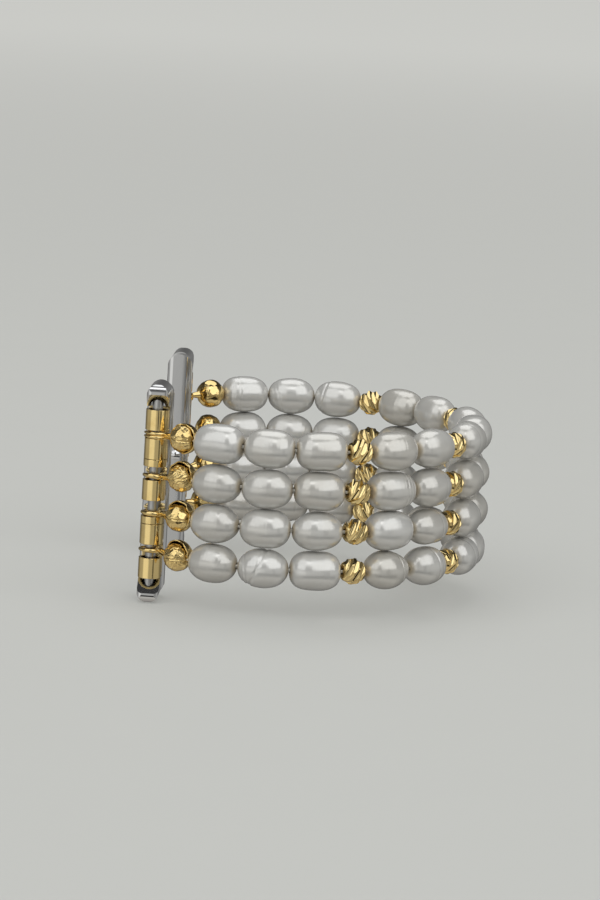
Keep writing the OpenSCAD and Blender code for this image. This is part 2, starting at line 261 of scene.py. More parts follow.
def finishMaterial(tree, sockets, height=None, depth=0.0):
    # the surface shader, with a bump where the finish has one
    if height is not None:
        bump = addNode(tree, "ShaderNodeBump", {},
                       {"Height": height, "Strength": 1.0, "Distance": depth})
        sockets = dict(sockets, Normal=bump)
    shader = addNode(tree, "ShaderNodeBsdfPrincipled", {}, sockets)
    addNode(tree, "ShaderNodeOutputMaterial", {}, {"Surface": shader})


# Finishes: every size is a noise's scale for each metre, and "vary" is how far roughness varies

nacre = {
    "pale": (0.64, 0.632, 0.603, 1), "deep": (0.565, 0.545, 0.497, 1),
    "drilled": (0.50, 0.40, 0.24, 1), "drilledShare": 0.6, "drilledFrom": 0.88,
    "sheen": 0.38, "roughness": 0.22, "vary": 0.14, "gloss": 0.42, "glossRoughness": 0.15,
    "cloudSize": 260, "clouds": 0.6, "tones": 0.55, "deepFrom": 0.3, "deepTo": 0.85,
    "skinSize": 900, "skin": 0.6, "rings": 8.0, "ringStart": 90, "growth": 1.6,
    "bump": 0.014 * mm}


def pearlMaterial():
    material, tree = newMaterial("nacre")
    place = objectPlace(tree)
    along, tone = attribute(tree, "along"), attribute(tree, "tone")
    clouds = softNoise(tree, place, nacre["cloudSize"], 3)
    shade = between(tree, clouds * nacre["clouds"] + tone * nacre["tones"],
                    nacre["deepFrom"], nacre["deepTo"])
    colour = mixColour(tree, shade, nacre["pale"], nacre["deep"])
    # towards each end, by the drill hole, the colour turns darker and browner
    fromMiddle = addNode(tree, "ShaderNodeMath", {"operation": "ABSOLUTE"}, {0: along})
    ends = between(tree, fromMiddle, nacre["drilledFrom"], 1.0)
    colour = mixColour(tree, ends * nacre["drilledShare"], colour, nacre["drilled"])
    skin = softNoise(tree, place, nacre["skinSize"], 4)
    # growth rings lie across the pearl, and start elsewhere on each one
    growth = addNode(tree, "ShaderNodeTexNoise", {"noise_dimensions": "1D"},
                     {"W": along * nacre["rings"] + tone * nacre["ringStart"],
                      "Scale": 1.0, "Detail": 2.0})
    finishMaterial(
        tree,
        {"Base Color": colour, "Metallic": nacre["sheen"],
         "Roughness": clouds * nacre["vary"] + (nacre["roughness"] - nacre["vary"] / 2),
         "Coat Weight": nacre["gloss"], "Coat Roughness": nacre["glossRoughness"]},
        skin * nacre["skin"] + growth * nacre["growth"], nacre["bump"])
    return material


gold = {
    "cutGold": {"colour": (0.85, 0.66, 0.31, 1), "roughness": 0.08,
                "grainSize": 3000, "grainDepth": 0.004 * mm},
    "hammeredGold": {"colour": (0.82, 0.62, 0.27, 1), "roughness": 0.11,
                     "grainSize": 2600, "grainDepth": 0.02 * mm},
    "rolledGold": {"colour": (0.86, 0.66, 0.30, 1), "roughness": 0.10,
                   "grainSize": 2000, "grainDepth": 0.004 * mm}}
goldClouds = {"colour": (0.60, 0.40, 0.13, 1), "size": 500, "share": 0.35, "from": 0.45, "to": 0.75,
              "vary": 0.10}


def goldMaterial(name):
    look = gold[name]
    material, tree = newMaterial(name)
    place = objectPlace(tree)
    clouds = softNoise(tree, place, goldClouds["size"], 3)
    shade = between(tree, clouds, goldClouds["from"], goldClouds["to"]) * goldClouds["share"]
    finishMaterial(
        tree,
        {"Base Color": mixColour(tree, shade, look["colour"], goldClouds["colour"]),
         "Metallic": 1.0,
         "Roughness": clouds * goldClouds["vary"] + (look["roughness"] - goldClouds["vary"] / 2)},
        softNoise(tree, place, look["grainSize"], 3), look["grainDepth"])
    return material


steel = {
    "polishedSteel": {"colour": (0.66, 0.66, 0.655, 1), "roughness": 0.05, "vary": 0.04},
    "barSteel": {"colour": (0.46, 0.46, 0.45, 1), "roughness": 0.22, "vary": 0.2},
    "springSteel": {"colour": (0.40, 0.40, 0.41, 1), "roughness": 0.25, "vary": 0.2},
    "crimpMetal": {"colour": (0.74, 0.64, 0.44, 1), "roughness": 0.25, "vary": 0.2}}
brushing = {"size": 4000, "stretch": (1, 1, 0.06), "depth": 0.02 * mm}


def steelMaterial(name):
    look = steel[name]
    material, tree = newMaterial(name)
    stretched = addNode(tree, "ShaderNodeMapping", {},
                        {"Vector": objectPlace(tree), "Scale": brushing["stretch"]})
    lines = softNoise(tree, stretched, brushing["size"])
    finishMaterial(
        tree,
        {"Base Color": look["colour"], "Metallic": 1.0,
         "Roughness": lines * look["vary"] + look["roughness"]},
        lines, look["vary"] * brushing["depth"])
    return material


cordFinish = {"pale": (0.80, 0.78, 0.72, 1), "deep": (0.70, 0.66, 0.56, 1), "size": 700,
              "roughness": 0.35, "gloss": 0.3}


def cordMaterial():
    material, tree = newMaterial("cord")
    clouds = softNoise(tree, objectPlace(tree), cordFinish["size"])
    finishMaterial(tree, {
        "Base Color": mixColour(tree, clouds, cordFinish["pale"], cordFinish["deep"]),
        "Roughness": cordFinish["roughness"], "Coat Weight": cordFinish["gloss"]})
    return material


finish = {"nacre": pearlMaterial(), "cord": cordMaterial()}
finish.update({name: goldMaterial(name) for name in gold})
finish.update({name: steelMaterial(name) for name in steel})
print("materials made:", len(finish))


# New pieces

def newPiece(name, bm, material, sharpAngle=None):
    mesh = bpy.data.meshes.new(name)
    bm.to_mesh(mesh)
    bm.free()
    mesh.materials.append(material)
    mesh.polygons.foreach_set("use_smooth", [True] * len(mesh.polygons))
    if sharpAngle is not None:
        mesh.set_sharp_from_angle(angle=math.radians(sharpAngle))
    mesh.update()
    piece = bpy.data.objects.new(name, mesh)
    bpy.context.scene.collection.objects.link(piece)
    return piece


def addMesh(bm, mesh):
    # adds a finished mesh and gives its vertices there
    bm.from_mesh(mesh)
    bm.verts.ensure_lookup_table()
    return bm.verts[-len(mesh.vertices):]


def seat(bm, verts, matrix):
    # puts finished geometry in its place, and turns it the right way out where that is mirrored
    bmesh.ops.transform(bm, matrix=matrix, verts=verts)
    if matrix.determinant() < 0:
        faces = {face for vert in verts for face in vert.link_faces}
        bmesh.ops.reverse_faces(bm, faces=list(faces))


# Unit balls to shape, made once for each fineness; a drilled one has a bore from pole to pole

blanks = {}


def blankBall(around, along, drilled=False):
    fineness = (around, along, drilled)
    if fineness not in blanks:
        bm = bmesh.new()
        bm.verts.layers.float.new("along")
        bm.verts.layers.float.new("tone")
        bmesh.ops.create_uvsphere(bm, u_segments=around, v_segments=along, radius=1)
        if drilled:
            poles = [v for v in bm.verts if abs(v.co.z) > 0.9999]
            bmesh.ops.delete(bm, geom=poles, context="VERTS")
            bmesh.ops.bridge_loops(bm, edges=[e for e in bm.edges if e.is_boundary])
        blanks[fineness] = bpy.data.meshes.new("blank")
        bm.to_mesh(blanks[fineness])
        bm.free()
    return blanks[fineness]


# Pearls: a rounded barrel of nacre on each place, no two alike

pearlLook = {"girth": 5.9 * mm, "length": 7.64 * mm, "drill": 0.9 * mm, "rows": 13, "middleRow": 7,
             "around": 72, "along": 54, "alongGrooved": 130,
             "lumps": 0.07 * mm, "lumpSize": 3.4 * mm, "lumpShift": (7.1, 3.7),
             "lip": 1.1, "grooveFade": 1.5}

# pearls in plain sight, by row and strand: bluntness, lean towards an egg, girth, then their
# grooves as (place, depth in mm, width, slant), with places and widths in half lengths
seen = {
    (1, 1): (2.75, 0.00, 0.99, []),
    (1, 2): (2.25, 0.035, 0.99, []),
    (1, 3): (2.1, 0.055, 0.99, []),
    (1, 4): (2.15, 0.01, 1.0, []),
    (2, 1): (2.4, -0.05, 0.99, []),
    (2, 2): (2.2, 0.0, 1.0, []),
    (2, 3): (2.4, -0.035, 0.99, []),
    (2, 4): (2.15, 0.0, 1.0, [
        (0.2, 0.13, 0.06, -0.3), (0.66, 0.08, 0.04, 0.1), (0.8, 0.05, 0.03, 0.1)]),
    (3, 1): (2.65, -0.03, 1.0, []),
    (3, 2): (2.6, 0.0, 0.99, []),
    (3, 3): (2.1, 0.0, 1.0, []),
    (3, 4): (2.7, 0.0, 1.0, []),
    (4, 1): (2.4, -0.03, 0.99, []),
    (4, 2): (2.6, 0.0, 0.99, [(-0.40, 0.04, 0.03, 0.0), (-0.57, 0.06, 0.03, 0.0)]),
    (4, 3): (2.5, 0.0, 1.01, []),
    (4, 4): (1.95, 0.08, 0.98, [(-0.45, 0.12, 0.035, 0.1), (-0.63, 0.10, 0.035, 0.1)]),
    (5, 1): (2.5, -0.04, 0.98, [
        (-0.42, 0.03, 0.02, 0.0), (-0.57, 0.04, 0.02, 0.0), (-0.70, 0.03, 0.02, 0.0)]),
    (5, 2): (2.3, 0.0, 0.99, [(-0.3, 0.03, 0.03, 0.0), (-0.6, 0.04, 0.03, 0.0)]),
    (5, 3): (2.15, 0.0, 0.92, [(-0.30, 0.07, 0.04, 0.05), (-0.58, 0.05, 0.03, 0.0)]),
    (5, 4): (2.1, 0.0, 1.0, [(-0.12, 0.12, 0.03, 0.1), (-0.36, 0.05, 0.03, 0.1)]),
    (6, 1): (2.3, 0.0, 0.98, [(0.35, 0.06, 0.05, 0.0)]),
    (6, 4): (2.4, 0.0, 0.98, [(0.1, 0.08, 0.06, 0.1)])}

# the other pearls: the least bluntness and girth and how much they grow by chance, how far they
# lean either way, and how often one has a groove, and of what kind
usual = {"blunt": 2.1, "bluntMore": 0.45, "lean": 0.05, "girth": 0.98, "girthMore": 0.03,
         "grooved": 0.3, "spots": (-0.6, 0.6), "depths": (0.03, 0.1), "width": 0.04,
         "slants": (-0.2, 0.2)}


def pearlShape(row, strand):
    if (row, strand) in seen:
        return seen[(row, strand)]
    chance = random.Random(row * 100 + strand)
    blunt = usual["blunt"] + usual["bluntMore"] * chance.random()
    egg = usual["lean"] * (chance.random() - 0.5)
    girth = usual["girth"] + usual["girthMore"] * chance.random()
    grooves = []
    if chance.random() < usual["grooved"]:
        grooves.append((chance.uniform(*usual["spots"]), chance.uniform(*usual["depths"]),
                        usual["width"], chance.uniform(*usual["slants"])))
    return blunt, egg, girth, grooves


def addPearl(bm, row, strand, matrix):
    blunt, egg, girth, grooves = pearlShape(row, strand)
    tone = random.Random(row * 31 + strand).random()
    bore = pearlLook["drill"] / 2
    widest = girth * pearlLook["girth"] / 2
    rowShift, strandShift = pearlLook["lumpShift"]
    shift = Vector((row * rowShift, strand * strandShift, 0))
    along = pearlLook["alongGrooved" if grooves else "along"]
    rimHeight = math.cos(math.pi / along) - 1e-5
    verts = addMesh(bm, blankBall(pearlLook["around"], along, drilled=True))
    alongLayer, toneLayer = bm.verts.layers.float["along"], bm.verts.layers.float["tone"]
    for v in verts:
        # c and s are the cosine and sine of the angle from the pearl's axis
        c, s = v.co.z, math.hypot(v.co.x, v.co.y)
        turn = math.atan2(v.co.y, v.co.x)
        isRim = abs(c) > rimHeight
        x = math.copysign(abs(c) ** (2 / blunt), c)
        v[alongLayer] = x
        v[toneLayer] = tone
        radius = bore
        if not isRim:
            radius = max(bore * pearlLook["lip"], widest * s ** (2 / blunt) * (1 + egg * c))
            for spot, depth, width, slant in grooves:
                away = (x - spot - slant * math.sin(turn)) / width
                fade = min(1, s * pearlLook["grooveFade"])
                radius -= depth * mm * math.exp(-away * away) * fade
        v.co = Vector((
            x * pearlLook["length"] / 2, radius * math.cos(turn), radius * math.sin(turn)))
        if not isRim:
            lump = noise.noise(v.co / pearlLook["lumpSize"] + shift)
            v.co += v.co.normalized() * lump * pearlLook["lumps"] * 2 * s
    seat(bm, verts, matrix)


def makePearls():
    for row in range(1, pearlLook["rows"] + 1):
        body = "middle_row" if row == pearlLook["middleRow"] else f"row_{row}"
        bm = bmesh.new()
        for strand in strands:
            addPearl(bm, row, strand, strandPlace(body, strand))
        bmesh.ops.recalc_face_normals(bm, faces=bm.faces)
        piece = newPiece(f"pearls_{row}", bm, finish["nacre"])
        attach(piece, body)
        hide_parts(f"pearl_row_{row}")


makePearls()
print("pearls made")


# Gold spacer beads, covered with hollow leaf-shaped cuts in three staggered tiers

spacerLook = {"size": 4.0 * mm, "length": 3.46 * mm, "drill": 0.9 * mm, "stretch": 1.02, "rows": 4,
              "cuts": 9, "cutRadius": 0.62 * mm, "cutDepth": 0.27 * mm, "cutLength": 2.6 * mm,
              "slant": 62, "tiers": (-1, 0, 1), "tierLean": 30, "tierTwist": 0.5,
              "around": 64, "along": 32, "cutAround": 52, "boreAround": 32,
              "boreLength": 5.19 * mm, "rowTurn": 0.8, "strandTurn": 1.9, "sharpAngle": 12}


def addRod(bm, radius, length, around, matrix=Matrix()):
    bmesh.ops.create_cone(bm, cap_ends=True, segments=around, radius1=radius, radius2=radius,
                          depth=length, matrix=matrix)


def cutBead():
    bm = bmesh.new()
    bmesh.ops.create_uvsphere(bm, u_segments=spacerLook["around"], v_segments=spacerLook["along"],
                              radius=spacerLook["size"] / 2)
    half = spacerLook["length"] / 2
    for v in bm.verts:
        v.co.z = max(-half, min(half, v.co.z * spacerLook["stretch"]))
    bead = newPiece("cutBead", bm, finish["cutGold"])
    knives = bmesh.new()
    out = spacerLook["size"] / 2 - spacerLook["cutDepth"] + spacerLook["cutRadius"]
    slant = Matrix.Rotation(math.radians(spacerLook["slant"]), 4, "X")
    knifePlace = Matrix.Translation((out, 0, 0)) @ slant
    for tier in spacerLook["tiers"]:
        lean = Matrix.Rotation(-math.radians(tier * spacerLook["tierLean"]), 4, "Y")
        for k in range(spacerLook["cuts"]):
            steps = k + tier * spacerLook["tierTwist"]
            turn = Matrix.Rotation(math.tau * steps / spacerLook["cuts"], 4, "Z")
            addRod(knives, spacerLook["cutRadius"], spacerLook["cutLength"],
                   spacerLook["cutAround"], turn @ lean @ knifePlace)
    addRod(knives, spacerLook["drill"] / 2, spacerLook["boreLength"], spacerLook["boreAround"])
    knife = newPiece("knives", knives, finish["cutGold"])
    cut = bead.modifiers.new("cuts", "BOOLEAN")
    cut.object = knife
    cut.solver = "EXACT"
    cut.use_self = True
    evaluated = bead.evaluated_get(bpy.context.evaluated_depsgraph_get())
    mesh = bpy.data.meshes.new_from_object(evaluated)
    bpy.data.objects.remove(bead)
    bpy.data.objects.remove(knife)
    return mesh


def makeSpacers():
    mesh = cutBead()
    print("spacer bead cut:", len(mesh.polygons), "faces")
    alongStrand = Matrix.Rotation(math.radians(90), 4, "Y")
    for row in range(1, spacerLook["rows"] + 1):
        body = f"spacers_{row}"
        bm = bmesh.new()
        for strand in strands:
            # no two beads show the same cuts
            turn = row * spacerLook["rowTurn"] + strand * spacerLook["strandTurn"]
            aside = alongStrand @ Matrix.Rotation(turn, 4, "Z")
            seat(bm, addMesh(bm, mesh), strandPlace(body, strand) @ aside)
        piece = newPiece(f"spacers_cut_{row}", bm, finish["cutGold"], spacerLook["sharpAngle"])
        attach(piece, body)
        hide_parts(f"spacer_row_{row}")


makeSpacers()


# Clamshell bead tips: a hammered front cup over a wider back cup, with a neck and a ring of wire

tipLook = {"reach": 5.4 * mm, "ball": 4.36 * mm, "backBall": 4.6 * mm, "wall": 0.2 * mm,
           "lap": 0.3 * mm, "frontFineness": (112, 100), "backFineness": (96, 64),
           "crispness": 150, "markReach": 0.86, "markTurn": 137.5, "markStray": 0.25,
           "markRange": (0.45, 1.2), "backMarks": 0.5,
           "seam": 0.16 * mm, "seamWidth": 0.08 * mm, "seamSway": 0.18 * mm, "swaySize": 1500,
           "step": 0.08 * mm, "stepWidth": 0.03 * mm, "foldSizes": (1900, 900, 650),
           "foldEdge": 5, "dimple": 0.13 * mm, "dimpleWidth": 0.17 * mm, "dimpleSquash": 1.5,
           "backSway": 0.08 * mm, "backSwaySize": 1.6, "rimSway": 0.3 * mm, "rimWidth": 0.6 * mm}
neckLook = {"start": 0.36 * mm, "reach": 1.575 * mm, "flare": 1.6, "steps": 8, "around": 32}
ringLook = {"size": 4.0 * mm, "thickness": 0.8, "thinning": 0.3, "loopStep": 0.95,
            "search": 1.4 * mm, "wireAround": 20, "around": 64}

# by strand: how far the back cup stands off to the pearls and upwards, the ring's wire, tilt and
# loops, the neck's width, how many hammer marks and how deep, how deep the wrinkles are, how the
# seam leans, and where the dimple is, in mm
tipKind = {
    1: {"right": 0.2 * mm, "lift": 0.04 * mm, "wire": 0.55 * mm, "tilt": 4, "loops": 2,
        "neck": 1.7 * mm, "marks": 54, "markDepth": 0.045, "wrinkle": 0.05 * mm, "seamLean": 8,
        "dimple": (-0.15, 0.42)},
    2: {"right": 0.0, "lift": 0.36 * mm, "wire": 0.85 * mm, "tilt": 10, "loops": 1,
        "neck": 1.8 * mm, "marks": 80, "markDepth": 0.05, "wrinkle": 0.20 * mm, "seamLean": -12,
        "dimple": (0.1, -0.6)},
    3: {"right": 0.03 * mm, "lift": 0.34 * mm, "wire": 0.85 * mm, "tilt": 2, "loops": 1,
        "neck": 2.9 * mm, "marks": 44, "markDepth": 0.035, "wrinkle": 0.03 * mm, "seamLean": 2,
        "dimple": (0.0, 0.5)},
    4: {"right": 0.05 * mm, "lift": 0.36 * mm, "wire": 0.7 * mm, "tilt": 0, "loops": 1,
        "neck": 1.9 * mm, "marks": 60, "markDepth": 0.045, "wrinkle": 0.11 * mm, "seamLean": 3,
        "dimple": (0.5, 0.1)}}


def hammerMarks(seed, kind):
    # flats spread evenly over the ball: the way each faces and how near the middle it lies
    chance = random.Random(seed)
    marks = []
    for k in range(kind["marks"]):
        height = 1 - 2 * (k + 0.5) / kind["marks"]
        stray = chance.uniform(-tipLook["markStray"], tipLook["markStray"])
        turn = math.radians(tipLook["markTurn"]) * k + stray
        wide = math.sqrt(1 - height * height)
        facing = Vector((wide * math.cos(turn), height, wide * math.sin(turn)))
        marks.append((facing, 1 - kind["markDepth"] * chance.uniform(*tipLook["markRange"])))
    return marks


def hammered(facing, marks):
    # the nearest flat in each direction, with its edges a little soft
    crisp = tipLook["crispness"]
    total = 1.0
    for flat, near in marks:
        facingIt = facing.dot(flat)
        if facingIt > tipLook["markReach"]:
            total += (facingIt / near) ** crisp
    return total ** (-1 / crisp)


def addFrontCup(bm, seed, kind):
    marks = hammerMarks(seed, kind)
    shift = Vector((seed * 5.3, seed * 1.7, seed))
    lean = math.tan(math.radians(kind["seamLean"]))
    alongFold, outFold, acrossFold = tipLook["foldSizes"]
    spotX, spotZ = kind["dimple"]
    for v in addMesh(bm, blankBall(*tipLook["frontFineness"])):
        facing = v.co.normalized()
        front = max(0.0, min(1.0, facing.y * 2))
        ball = facing * tipLook["ball"] / 2
        x, z = ball.x, ball.z
        folds = Vector(((x + z) * alongFold, ball.y * outFold, (z - x) * acrossFold)) + shift
        fold = max(0.0, 1 - abs(noise.noise(folds)) * tipLook["foldEdge"]) ** 2
        wrinkle = fold * kind["wrinkle"] * front
        sway = tipLook["seamSway"] * noise.noise(Vector((x * tipLook["swaySize"], 0, 0)) + shift)
        line = z - lean * x - sway
        seam = tipLook["seam"] * math.exp(-(line / tipLook["seamWidth"]) ** 2)
        step = tipLook["step"] / (1 + math.exp(min(60.0, line / tipLook["stepWidth"])))
        spot = math.hypot(x - spotX * mm, (z - spotZ * mm) * tipLook["dimpleSquash"])
        pinch = spot / tipLook["dimpleWidth"]
        dimple = tipLook["dimple"] * math.exp(-pinch * pinch)
        v.co = ball * hammered(facing, marks) - facing * (wrinkle + (seam + step + dimple) * front)


def addBackCup(bm, seed, kind):
    # as much of a wider ball as lies behind the lap, a little bent at its rim, with a wall
    verts = addMesh(bm, blankBall(*tipLook["backFineness"]))
    lap = tipLook["lap"]
    bmesh.ops.scale(bm, verts=verts, vec=[tipLook["backBall"] / 2] * 3)
    bmesh.ops.bisect_plane(bm, geom=bm.verts[:] + bm.edges[:] + bm.faces[:],
                           plane_co=(0, lap, 0), plane_no=(0, 1, 0), clear_outer=True)
    marks = hammerMarks(seed + 40, dict(kind, markDepth=kind["markDepth"] * tipLook["backMarks"]))
    for v in bm.verts:
        facing = v.co.normalized()
        rim = max(0.0, 1 - abs(v.co.y - lap) / tipLook["rimWidth"])
        sway = noise.noise(facing * tipLook["backSwaySize"] + Vector((seed, 0, seed)))
        bent = Vector((0, sway * rim * tipLook["rimSway"], 0))
        v.co = v.co * hammered(facing, marks) + facing * sway * tipLook["backSway"] + bent
    bmesh.ops.translate(bm, verts=bm.verts, vec=(-kind["right"], 0, kind["lift"]))
    bmesh.ops.recalc_face_normals(bm, faces=bm.faces)
    bmesh.ops.solidify(bm, geom=bm.faces[:] + bm.edges[:] + bm.verts[:], thickness=tipLook["wall"])


def backCupMesh(seed, kind):
    bm = bmesh.new()
    addBackCup(bm, seed, kind)
    mesh = bpy.data.meshes.new("backCup")
    bm.to_mesh(mesh)
    bm.free()
    return mesh


def addNeck(bm, height, width):
    # a flared neck from the ring to the cups, spun round its own line
    ringX = tipLook["reach"] - neckLook["reach"]
    start, end = Vector((ringX, 0, height)), Vector((tipLook["ball"] / 4, 0, 0))
    span = (start - end).length
    known = set(bm.verts)
    profile = []
    for k in range(neckLook["steps"] + 1):
        share = k / neckLook["steps"]
        flare = (width / 2 - neckLook["start"]) * share ** neckLook["flare"]
        profile.append(bm.verts.new((span * (1 - share), 0, neckLook["start"] + flare)))
    edges = [bm.edges.new(pair) for pair in zip(profile, profile[1:])]
    bmesh.ops.spin(bm, geom=profile + edges, cent=(0, 0, 0), axis=(1, 0, 0), angle=math.tau,
                   steps=neckLook["around"], use_merge=True)
    verts = [v for v in bm.verts if v not in known]
    lean = Matrix.Rotation(-math.atan2(height, ringX - end.x), 4, "Y")
    bmesh.ops.transform(bm, matrix=Matrix.Translation(end) @ lean, verts=verts)


def addRing(bm, height, wire, tilt):
    # a loop of wire round the bar, which thins towards the cups
    middle = (ringLook["size"] - wire) / 2
    circle = bmesh.ops.create_circle(bm, segments=ringLook["wireAround"], radius=wire / 2)["verts"]
    upright = Matrix.Rotation(math.radians(90), 3, "X")
    bmesh.ops.rotate(bm, verts=circle, cent=(0, 0, 0), matrix=upright)
    bmesh.ops.translate(bm, verts=circle, vec=(middle, 0, 0))
    loop = list({e for v in circle for e in v.link_edges})
    known = set(bm.verts) - set(circle)
    bmesh.ops.spin(bm, geom=circle + loop, cent=(0, 0, 0), axis=(0, 0, 1), angle=math.tau,
                   steps=ringLook["around"], use_merge=True)
    verts = [v for v in bm.verts if v not in known]
    for v in verts:
        centre = Vector((v.co.x, v.co.y, 0)).normalized() * middle
        share = ringLook["thickness"] - ringLook["thinning"] * centre.x / middle
        v.co = centre + (v.co - centre) * share
    turn = Matrix.Rotation(math.radians(tilt), 4, "X")
    place = Matrix.Translation((tipLook["reach"], 0, height))
    bmesh.ops.transform(bm, matrix=place @ turn, verts=verts)


def ringHeight(node, pin):
    # the ring is the part of the tip nearest the bar
    heights = [v.co.z for v in frame["nodes"][node].data.vertices
               if (v.co.xy - pin.xy).length < ringLook["search"]]
    return (min(heights) + max(heights)) / 2


def makeTip(s, side):
    kind = tipKind[s]
    node = f"bead_tip_{s}_{side}"
    seed = s + (4 if side == "back" else 0)
    pin = pivotOf(side + "_connector_swing")
    joint = pivotOf(side + "_bend_tips")
    place = localFrame(pin + (joint - pin).normalized() * tipLook["reach"], pin, side)
    place.translation.z = strandZ[s - 1]
    ringZ = ringHeight(node, pin) - place.translation.z
    backCup = backCupMesh(seed, kind)
    bm = bmesh.new()
    addFrontCup(bm, seed, kind)
    bm.from_mesh(backCup)
    bpy.data.meshes.remove(backCup)
    addNeck(bm, ringZ, kind["neck"])
    for loop in range(kind["loops"]):
        aside = (loop - (kind["loops"] - 1) / 2) * kind["wire"] * ringLook["loopStep"]
        addRing(bm, ringZ + aside, kind["wire"], kind["tilt"])
    seat(bm, bm.verts[:], place)
    bmesh.ops.recalc_face_normals(bm, faces=bm.faces)
    piece = newPiece(f"tip_{s}_{side}", bm, finish["hammeredGold"])
    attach(piece, "tips_" + side)
    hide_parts(node)


for side in sides:
    for s in strands:
        makeTip(s, side)
for blank in blanks.values():
    bpy.data.meshes.remove(blank)
print("bead tips made")


# Stringing cords: one set of straight pieces for each gap, which bend with the two rows beside it

cordLook = {"thickness": 0.5 * mm, "around": 12, "tail": 2.9 * mm, "bend": 0.4 * mm,
            "sharpAngle": 40}


def addCordPiece(bm, start, end, height):
    line = end - start
    line.z = 0
    mid = (start + end) / 2
    turn = line.to_track_quat("Z", "Y").to_matrix().to_4x4()
    addRod(bm, cordLook["thickness"] / 2, line.length, cordLook["around"],
           Matrix.Translation((mid.x, mid.y, height)) @ turn)


def makeCords():
    for side in sides:
        pin = pivotOf(side + "_connector_swing")
        for k, joint in enumerate(armOf(side)):
            hinge = Vector(joint["pos_m"])
            near = places[joint["parent"]].translation
            if joint["child"] in places:
                far = places[joint["child"]].translation
            else:
                # the last piece ends inside the bead tip
                far = hinge + (pin - hinge).normalized() * cordLook["tail"]
            bm = bmesh.new()
            for height in strandZ:
                addCordPiece(bm, near, hinge, height)
                addCordPiece(bm, hinge, far, height)
            piece = newPiece(f"cord_{side}_{k + 1}", bm, finish["cord"], cordLook["sharpAngle"])
            if side == "front" and k == 0:
                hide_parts("cord_1", "cord_2", "cord_3", "cord_4")
            towards = (far - near).normalized() * cordLook["bend"]
            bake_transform(piece, joint["parent"], joint["child"], start=hinge - towards, end=hinge + towards)


makeCords()
print("cords made")


# Sleeves and collars: gold strip rolled round, with its butt joint left open a hair

sleeveLook = {"size": 3.5 * mm, "wall": 0.35 * mm, "edge": 0.05 * mm, "edgeSteps": 3, "joint": 3.6,
              "around": 72, "sharpAngle": 12}

# where each joint has turned to, in degrees round the bar
seams = {"sleeve_1": -78, "sleeve_2": 100, "sleeve_3": 60, "sleeve_4": 140, "sleeve_5": 20,
         "collar_1": 80, "collar_2": 120}


def makeRolled(node, body, seamAt):
    low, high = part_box(node)
    pin = (low + high) / 2
    outer, inner = sleeveLook["size"] / 2, sleeveLook["size"] / 2 - sleeveLook["wall"]
    bm = bmesh.new()
    section = bmesh.ops.create_grid(bm, x_segments=1, y_segments=1, size=0.5)
    for v in section["verts"]:
        x = (inner + outer) / 2 + v.co.x * (outer - inner)
        v.co = Vector((x, 0, pin.z + v.co.y * (high.z - low.z)))
    bmesh.ops.bevel(bm, geom=bm.verts[:], offset=sleeveLook["edge"], affect="VERTICES",
                    segments=sleeveLook["edgeSteps"], profile=0.5, material=-1)
    bmesh.ops.spin(bm, geom=bm.faces[:] + bm.edges[:] + bm.verts[:], cent=(0, 0, 0), axis=(0, 0, 1),
                   angle=math.tau - math.radians(sleeveLook["joint"]), steps=sleeveLook["around"])
    bmesh.ops.recalc_face_normals(bm, faces=bm.faces)
    turn = Matrix.Rotation(math.radians(seamAt), 4, "Z")
    bmesh.ops.transform(bm, matrix=Matrix.Translation((pin.x, pin.y, 0)) @ turn, verts=bm.verts)
    piece = newPiece("rolled_" + node, bm, finish["rolledGold"], sleeveLook["sharpAngle"])
    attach(piece, body)
    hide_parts(node)


for side in sides:
    for kind, seamAt in seams.items():
        makeRolled(f"{kind}_{side}", f"{kind}_{side}_body", seamAt if side == "front" else -seamAt)
print("sleeves made")


# Coil springs, which shorten as what they push on slides in: two in each bar, and one under
# each button

springLook = {"wire": 0.2 * mm, "wireAround": 10, "barCurls": 8, "lockCurls": 4, "steps": 24}


def makeSpring(name, side, start, end, width, curls, mover):
    # wound from start, which stays with the connector, to end, which goes with the mover
    line = end - start
    wire = springLook["wire"]
    steps = curls * springLook["steps"]
    bm = bmesh.new()
    bmesh.ops.create_circle(bm, cap_ends=True, segments=springLook["wireAround"], radius=wire / 2)
    upright = Matrix.Rotation(math.radians(90), 3, "X")
    bmesh.ops.rotate(bm, verts=bm.verts, cent=(0, 0, 0), matrix=upright)
    bmesh.ops.translate(bm, verts=bm.verts, vec=((width - wire) / 2, 0, 0))
    rise = (line.length - wire / 2) / steps
    bmesh.ops.spin(bm, geom=bm.verts[:] + bm.edges[:] + bm.faces[:], cent=(0, 0, 0), axis=(0, 0, 1),
                   dvec=(0, 0, rise), angle=math.tau * curls, steps=steps)
    z, x = line.normalized(), Vector((1, 0, 0))
    bmesh.ops.transform(bm, verts=bm.verts, matrix=placeMatrix(x, z.cross(x), z, start))
    bmesh.ops.recalc_face_normals(bm, faces=bm.faces)
    piece = newPiece(name, bm, finish["springSteel"])
    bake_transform(piece, "connector_body_" + side, mover, start=start, end=end)
    return piece


def makeSprings(side):
    low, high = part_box("bar_spring_" + side)
    middle = (low + high) / 2
    top, bottom = (Vector((middle.x, middle.y, z)) for z in (high.z, low.z))
    upper = makeSpring("bar_spring_upper_" + side, side, middle, top, high.x - low.x,
                       springLook["barCurls"], "pivot_upper_" + side)
    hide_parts("bar_spring_" + side)
    makeSpring("bar_spring_lower_" + side, side, middle, bottom, high.x - low.x,
               springLook["barCurls"], "pivot_lower_" + side)
    low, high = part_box("lock_spring_" + side)
    middle = (low + high) / 2
    push = Vector(jointNamed[side + "_lock_button_push"]["axis"])
    half = push * (high.y - low.y) / 2
    deepest = middle + half - push * springLook["wire"] / 2
    under = makeSpring("button_spring_" + side, side, deepest, middle - half, high.x - low.x,
                       springLook["lockCurls"], f"lock_button_{side}_body")
    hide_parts("lock_spring_" + side)


for side in sides:
    makeSprings(side)
print("springs made")


